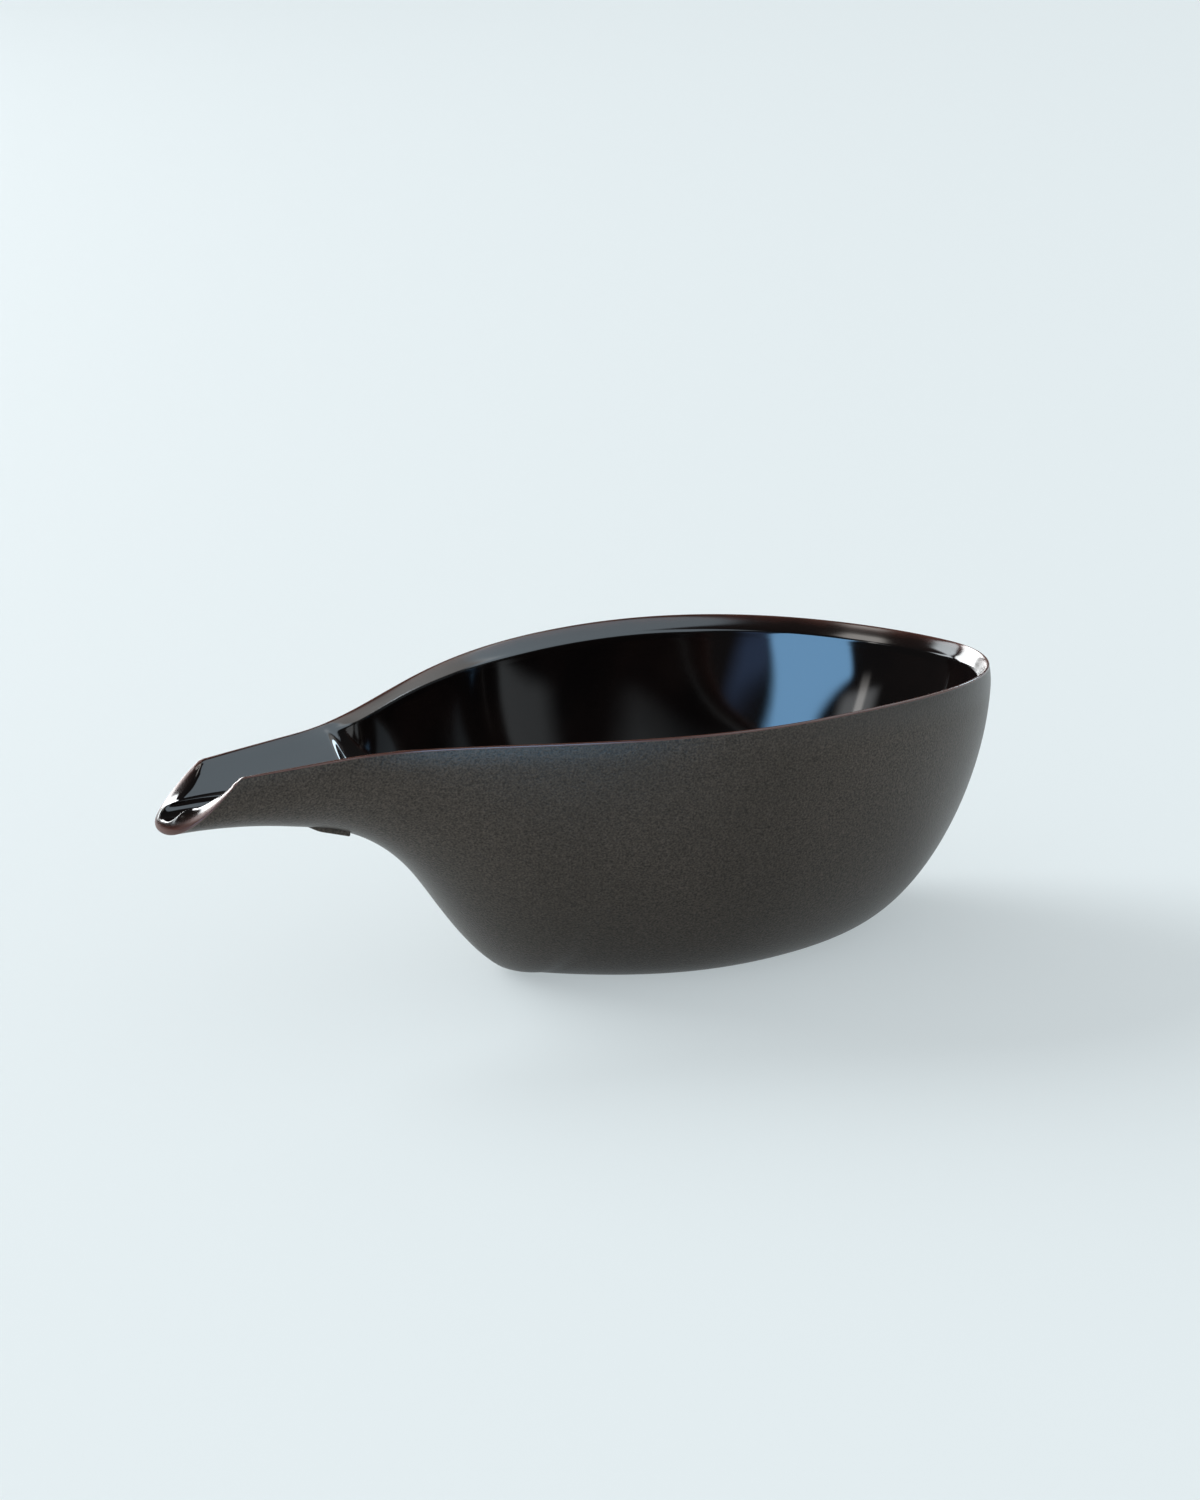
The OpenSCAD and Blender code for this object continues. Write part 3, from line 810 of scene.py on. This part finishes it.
def splineThrough(control, count):
    # clamped cubic spline on control points: (path, controls, 3) to (path, count, 3)
    n = control.shape[1]
    knots = np.concatenate([np.zeros(3), np.linspace(0, 1, n - 2), np.ones(3)])
    t = np.linspace(0, 1, count)
    basis = np.array([(t >= knots[i]) & (t < knots[i + 1]) for i in range(len(knots) - 1)], float)
    basis[n - 1, t == 1] = 1
    for degree in range(1, 4):
        higher = np.zeros((len(basis) - 1, count))
        for i in range(len(basis) - 1):
            rise, fall = knots[i + degree] - knots[i], knots[i + degree + 1] - knots[i + 1]
            if rise > 0:
                higher[i] += (t - knots[i]) / rise * basis[i]
            if fall > 0:
                higher[i] += (knots[i + degree + 1] - t) / fall * basis[i + 1]
        basis = higher
    return np.einsum("nt,pnc->ptc", basis, control)


outerEdge, innerEdge = edgePath()
depth = np.linalg.norm(outside(*innerEdge.T) - outside(*outerEdge.T), axis=-1)
lipSpots = len(outerEdge) - ribCount + lipRib
lapAlong = np.concatenate([lapRow[:lipRib - 1:-1], np.full(lipSpots, edgeShape["lipLap"])])
bandAlong = np.concatenate([bandShare[:lipRib - 1:-1], np.zeros(lipSpots)])[:, None]
slope = np.maximum(depth - lapAlong, edgeShape["leastSlope"])


def onLine(side, distance):
    share = (np.broadcast_to(distance, depth.shape) / depth)[:, None]
    return side(*(outerEdge + (innerEdge - outerEdge) * share).T)


# the coat's section, from the outside over the crest and down; crest pairs are inward and upward
coat = {
    "upOver": 0.4,              # the upward direction is taken over this length
    "beadFull": 0.55,           # the bead is fullest at this share of its drop
    "bowlCrest": ((0.12, 0.24), (0.55, 0.10)),
    "crestUp": 0.05,
    "shoulderUp": 0.35,         # the foot of the slope is rounded
    "shoulderOut": 0.45,
    "toeDown": 0.1,
    "toeOut": 0.05,
    "bowlRunOut": (0.3, 0.53, 0.76, 1),     # places on the lining, as shares of the lap
    "lipEdge": 0.4,             # the lip: share of its bulge at the outer edge
    "lipOver": ((0.25, 1.0), (0.58, 1.0), (0.85, 0.45)),    # shares of its thickness and of its bulge
    "lipToe": 0.18,
    "lipToeOut": 0.1,
    "lipRunOut": (0.4, 0.58, 0.72, 0.86, 1),
    "seatCrest": (0.4, -0.15),  # the underside, sunk into the clay
    "seatDrop": 0.35,
    "seatIn": (0.03, 0.05),
    "wearAt": (0, 0.09, 0.23, 0.33, 0.54, 0.78),    # how far it breaks to red, along the section
    "wear": (0.9, 1, 1, 0.75, 0.3, 0),
}
crest = onLine(outside, 0.0)
ahead = unit(crest - onLine(outside, coat["upOver"]))
inward = hullAt(*outerEdge.T)[1]
shoulderIn = onLine(lambda u, v: hullAt(u, v)[1], slope)
proud = edgeShape["proud"] * shoulderIn
lipAlong = np.linspace(0, 1, lipSpots) / edgeShape["lipBeadBy"]
lipAlong = ease(np.concatenate([np.zeros(ribCount - lipRib), lipAlong]))
beadDrop = mix(edgeShape["beadDrop"], edgeShape["lipBead"], lipAlong)
beadOut = crest - edgeShape["bead"] * inward
beadMid = onLine(outside, beadDrop * coat["beadFull"]) - edgeShape["bead"] * inward
outerControl = [onLine(outside, beadDrop), beadMid]
bowlControl = [*outerControl, beadOut + coat["crestUp"] * ahead]
bowlControl += [crest + inOff * inward + upOff * ahead for inOff, upOff in coat["bowlCrest"]]
shoulderDown = slope - coat["shoulderUp"] * bandAlong[:, 0]
shoulderAt = onLine(glazeInside, shoulderDown) - coat["shoulderOut"] * shoulderIn
bowlControl += [mix(bowlControl[-1], shoulderAt, 0.5), shoulderAt]
bowlControl += [onLine(glazeInside, slope + coat["toeDown"]) - coat["toeOut"] * shoulderIn]
bowlControl += [onLine(glazeInside, mix(slope, depth, share)) + proud for share in coat["bowlRunOut"]]
inner = onLine(glazeInside, 0.0)
bulge = edgeShape["lipRound"] * np.linalg.norm(inner - crest, axis=-1, keepdims=True) * ahead
lipControl = [*outerControl, beadOut + coat["lipEdge"] * bulge]
lipControl += [mix(crest, inner, across) + full * bulge for across, full in coat["lipOver"]]
lipControl += [onLine(glazeInside, depth * coat["lipToe"]) - coat["lipToeOut"] * shoulderIn]
lipControl += [onLine(glazeInside, depth * share) + proud for share in coat["lipRunOut"]]
control = mix(np.stack(lipControl, 1), np.stack(bowlControl, 1), bandAlong[:, None])
over = splineThrough(control, edgeShape["stepsOver"])
seat = np.stack([
    onLine(clayInside, depth),
    onLine(clayInside, slope),
    crest + coat["seatCrest"][0] * inward + coat["seatCrest"][1] * ahead,
    onLine(outside, coat["seatDrop"]) + coat["seatIn"][0] * inward,
    control[:, 0] + coat["seatIn"][1] * inward,
], 1)
seatAt = np.linspace(0, seat.shape[1] - 1, edgeShape["stepsUnder"])
seatLow = np.minimum(seatAt.astype(int), seat.shape[1] - 2)
under = mix(seat[:, seatLow], seat[:, seatLow + 1], (seatAt - seatLow)[None, :, None])
edgeLoops = np.concatenate([over, under], 1)[::-1]
edgeLoops[[0, -1], :, 1] = 0
overShare = np.interp(np.linspace(0, 1, edgeShape["stepsOver"]), coat["wearAt"], coat["wear"])
edgeMask = np.tile(np.concatenate([overShare, np.zeros(edgeShape["stepsUnder"])]), (len(edgeLoops), 1))
skinPiece("edgeCoat", edgeLoops, rimGlaze, "rim_glaze", edgeMask)

# pad under the root of the spout
pad = {
    "back": 32.1,               # from the tip of the lip
    "length": 9.0,
    "halfWidth": 2.4,
    "frontProud": 0.45,
    "rearProud": 0.60,
    "round": 0.3,
    "ramp": 2.5,                # its front end runs out thin
    "rampPower": 1.5,
    "sunk": 0.25,
    "reach": 0.35,              # share of the spout's height that is searched for its seat, and points there
    "reachSteps": 80,
    "endSteps": 5,
    "runSteps": 16,
    "turnSteps": 6,
    "flatSteps": 7,
}
roundSteps = pad["round"] * (1 - np.cos(np.linspace(0, math.pi / 2, pad["endSteps"])))
midSteps = np.linspace(pad["round"], pad["length"] - pad["round"], pad["runSteps"])[1:-1]
padRun = np.concatenate([roundSteps, midSteps, pad["length"] - roundSteps[::-1]])
padU = np.interp((pad["back"] + padRun) / spoutRun, spoutShare, ribNumber[:len(spoutShare)])
frontZ = keelZ(np.array([tipX + pad["back"]]))[0] - pad["frontProud"]
rearZ = keelZ(np.array([tipX + pad["back"] + pad["length"]]))[0] - pad["rearProud"]
turnAt = np.linspace(0, math.pi / 2, pad["turnSteps"])
flat = pad["halfWidth"] - pad["round"]
flatY = np.linspace(0, flat, pad["flatSteps"] + 1)[:-1]
soleY = np.concatenate([flatY, flat + pad["round"] * np.sin(turnAt)])
soleRise = np.concatenate([np.zeros(pad["flatSteps"]), pad["round"] * (1 - np.cos(turnAt))])
seatY = np.linspace(pad["halfWidth"], 0, len(soleY))
seatShare = np.linspace(0, pad["reach"], pad["reachSteps"])
padLoops = []
for run, u in zip(padRun, padU):
    inset = min(run, pad["length"] - run)
    lift = pad["round"] - math.sqrt(max(0, pad["round"] ** 2 - max(0, pad["round"] - inset) ** 2))
    lift = max(lift, pad["frontProud"] * max(0, 1 - run / pad["ramp"]) ** pad["rampPower"])
    line = outside(np.full_like(seatShare, u), seatShare)
    seatZ = np.interp(seatY, line[:, 1], line[:, 2]) + pad["sunk"]
    soleZ = np.minimum(mix(frontZ, rearZ, run / pad["length"]) + lift + soleRise, seatZ[::-1])
    x = np.full_like(soleY, tipX + pad["back"] + run)
    padLoops.append(np.concatenate([np.stack([x, soleY, soleZ], -1), np.stack([x, seatY, seatZ], -1)]))
padLoops = capped(np.array(padLoops))
skinPiece("dripTab", padLoops, stoneware, "drip_tab")

# floor; half of what the camera and the glaze see of it is its own even colour, so its shadows stay pale
floor = {"size": 8.0, "colour": (0.79, 0.87, 0.90), "roughness": 0.75, "specular": 0.2, "even": 0.5}
half = floor["size"] / 2
corners = [(-half, -half, 0), (half, -half, 0), (half, half, 0), (-half, half, 0)]
floorMesh = bpy.data.meshes.new("floor")
floorMesh.from_pydata(corners, [], [(0, 1, 2, 3)])
floorPiece = bpy.data.objects.new("floor", floorMesh)
scene.collection.objects.link(floorPiece)
paleFloor, tree, shader = newMaterial("paleFloor")
shader.inputs["Base Color"].default_value = (*floor["colour"], 1)
shader.inputs["Roughness"].default_value = floor["roughness"]
shader.inputs["Specular IOR Level"].default_value = floor["specular"]
even = tree.nodes.new("ShaderNodeEmission")
even.inputs["Color"].default_value = (*floor["colour"], 1)
path = tree.nodes.new("ShaderNodeLightPath")
seen = path.outputs["Is Camera Ray"]
for ray in ("Is Glossy Ray", "Is Transmission Ray"):
    seen = calc(tree, "MAXIMUM", seen, path.outputs[ray])
layers = tree.nodes.new("ShaderNodeMixShader")
tree.links.new(span(tree, seen, 0.0, floor["even"]), layers.inputs["Fac"])
tree.links.new(shader.outputs[0], layers.inputs[1])
tree.links.new(even.outputs[0], layers.inputs[2])
tree.links.new(layers.outputs[0], tree.nodes["Material Output"].inputs["Surface"])
floorMesh.materials.append(paleFloor)

# light: a dim pale room, two wide soft lamps, and panes that show only as reflections in the glaze
room = {"colour": (0.94, 0.97, 1.0), "strength": 0.05}
world = bpy.data.worlds.new("paleRoom")
scene.world = world
world.use_nodes = True
world.node_tree.nodes["Background"].inputs["Color"].default_value = (*room["colour"], 1)
world.node_tree.nodes["Background"].inputs["Strength"].default_value = room["strength"]


def direction(azimuth, elevation):
    a, e = math.radians(azimuth), math.radians(elevation)
    return Vector((math.sin(a) * math.cos(e), -math.cos(a) * math.cos(e), math.sin(e)))


def addLamp(name, lamp, towards, away):
    holder = bpy.data.objects.new(name, lamp)
    holder.rotation_mode = "QUATERNION"
    holder.location = towards * away
    holder.rotation_quaternion = towards.to_track_quat("Z", "Y")
    scene.collection.objects.link(holder)
    return holder


# panes: where they stand as seen from the bowl, their angular size in degrees, brightness and soft margin;
# one is rolled about its own axis
panes = {
    "windowLeft": {"azimuth": -181.5, "elevation": 23, "wide": 41, "high": 35, "away": 1.8, "bright": 11.0,
                   "margin": 0.1, "colour": (0.96, 0.99, 1.0)},
    "windowAft": {"azimuth": -129.5, "elevation": 42, "wide": 37, "high": 23, "away": 1.8, "bright": 7.2,
                  "margin": 0.2, "colour": (0.88, 0.96, 1.0)},
    "panelRight": {"azimuth": 40, "elevation": 33, "wide": 78, "high": 46, "away": 1.6, "bright": 2.0,
                   "margin": 0.1, "colour": (0.74, 0.89, 1.0)},
    "panelEnd": {"azimuth": 97, "elevation": 34, "wide": 36, "high": 52, "away": 1.6, "bright": 1.25,
                 "margin": 0.25, "colour": (0.97, 0.96, 0.94)},
    "paneSide": {"azimuth": 104, "elevation": 15, "wide": 17, "high": 14, "away": 1.5, "bright": 9.0,
                 "margin": 0.15, "colour": (0.70, 0.88, 1.0)},
    "barBehind": {"azimuth": -58, "elevation": 33, "wide": 5, "high": 28, "away": 2.0, "bright": 3.0,
                  "margin": 0.25, "colour": (1.0, 0.97, 0.93)},
    "ledgeBehind": {"azimuth": -57, "elevation": 27, "wide": 22, "high": 8, "away": 2.0, "bright": 1.5,
                    "margin": 0.3, "colour": (0.93, 0.97, 1.0)},
    "wallAft": {"azimuth": -54, "elevation": 66, "wide": 18, "high": 26, "away": 2.0, "bright": 4.0,
                "margin": 0.25, "colour": (1.0, 0.96, 0.91)},
    "skyBehind": {"azimuth": -33.2, "elevation": 10.5, "wide": 31, "high": 33, "away": 2.0, "bright": 7.6,
                  "margin": 0.1, "roll": 14, "colour": (0.28, 0.60, 1.0)},
    "skyEdge": {"azimuth": -14, "elevation": 12, "wide": 15, "high": 14, "away": 2.0, "bright": 0.8,
                "margin": 0.4, "colour": (0.3, 0.5, 1.0)},
}


def softMargin(lamp, margin):
    # the pane fades out towards its edges, which are half its size from the middle
    edgeAt = 0.5
    lamp.use_nodes = True
    tree = lamp.node_tree
    place = tree.nodes.new("ShaderNodeNewGeometry")
    middle = tree.nodes.new("ShaderNodeVectorMath")
    middle.operation = "SUBTRACT"
    middle.inputs[1].default_value = (edgeAt, edgeAt, 0)
    tree.links.new(place.outputs["Parametric"], middle.inputs[0])
    measure = tree.nodes.new("ShaderNodeVectorMath")
    measure.operation = "ABSOLUTE"
    tree.links.new(middle.outputs[0], measure.inputs[0])
    axes = tree.nodes.new("ShaderNodeSeparateXYZ")
    tree.links.new(measure.outputs["Vector"], axes.inputs[0])
    fades = []
    for distance in axes.outputs[:2]:
        fade = tree.nodes.new("ShaderNodeMapRange")
        fade.interpolation_type = "SMOOTHSTEP"
        fade.inputs["From Min"].default_value = edgeAt
        fade.inputs["From Max"].default_value = edgeAt - margin
        tree.links.new(distance, fade.inputs["Value"])
        fades.append(fade.outputs["Result"])
    tree.links.new(calc(tree, "MULTIPLY", *fades), tree.nodes["Emission"].inputs["Strength"])


for name, pane in panes.items():
    lamp = bpy.data.lights.new(name, "AREA")
    lamp.shape = "RECTANGLE"
    lamp.size = 2 * pane["away"] * math.tan(math.radians(pane["wide"] / 2))
    lamp.size_y = 2 * pane["away"] * math.tan(math.radians(pane["high"] / 2))
    lamp.energy = pane["bright"] * math.pi * lamp.size * lamp.size_y
    lamp.color = pane["colour"]
    softMargin(lamp, pane["margin"])
    holder = addLamp(name, lamp, direction(pane["azimuth"], pane["elevation"]), pane["away"])
    holder.rotation_quaternion @= Quaternion((0, 0, 1), math.radians(pane.get("roll", 0)))
    holder.visible_diffuse = False

softColour = (1.0, 0.995, 0.985)
softAway = 2.0
softLamps = {
    "softLeft": {"azimuth": -155, "elevation": 24, "spread": 40, "strength": 3.2},
    "softAbove": {"azimuth": -124, "elevation": 89, "spread": 165, "strength": 1.45},
}
for name, soft in softLamps.items():
    lamp = bpy.data.lights.new(name, "SUN")
    lamp.angle = math.radians(soft["spread"])
    lamp.energy = soft["strength"]
    lamp.color = softColour
    addLamp(name, lamp, direction(soft["azimuth"], soft["elevation"]), softAway).visible_glossy = False
print("stage and lamps ready")

# camera at the photograph's place; focal length and the frame's origin are in pixels of that picture
picture = {"wide": 1200, "high": 1500}
view = {
    "azimuth": -35.30,
    "elevation": 16.05,
    "away": 0.95173,
    "focal": 4500.0,
    "origin": (689.44, 931.41),
    "clip": (0.01, 50),
}
back = direction(view["azimuth"], view["elevation"])
azimuth = math.radians(view["azimuth"])
right = Vector((math.cos(azimuth), math.sin(azimuth), 0))
upward = back.cross(right)
offX = (view["origin"][0] - picture["wide"] / 2) * view["away"] / view["focal"]
offY = (picture["high"] / 2 - view["origin"][1]) * view["away"] / view["focal"]
lens = bpy.data.cameras.new("camera")
lens.lens = view["focal"] / picture["high"] * lens.sensor_width
lens.clip_start, lens.clip_end = view["clip"]
camera = bpy.data.objects.new("camera", lens)
turned = Matrix((right, upward, back)).transposed().to_4x4()
turned.translation = back * view["away"] - right * offX - upward * offY
camera.matrix_world = turned
scene.collection.objects.link(camera)
scene.camera = camera
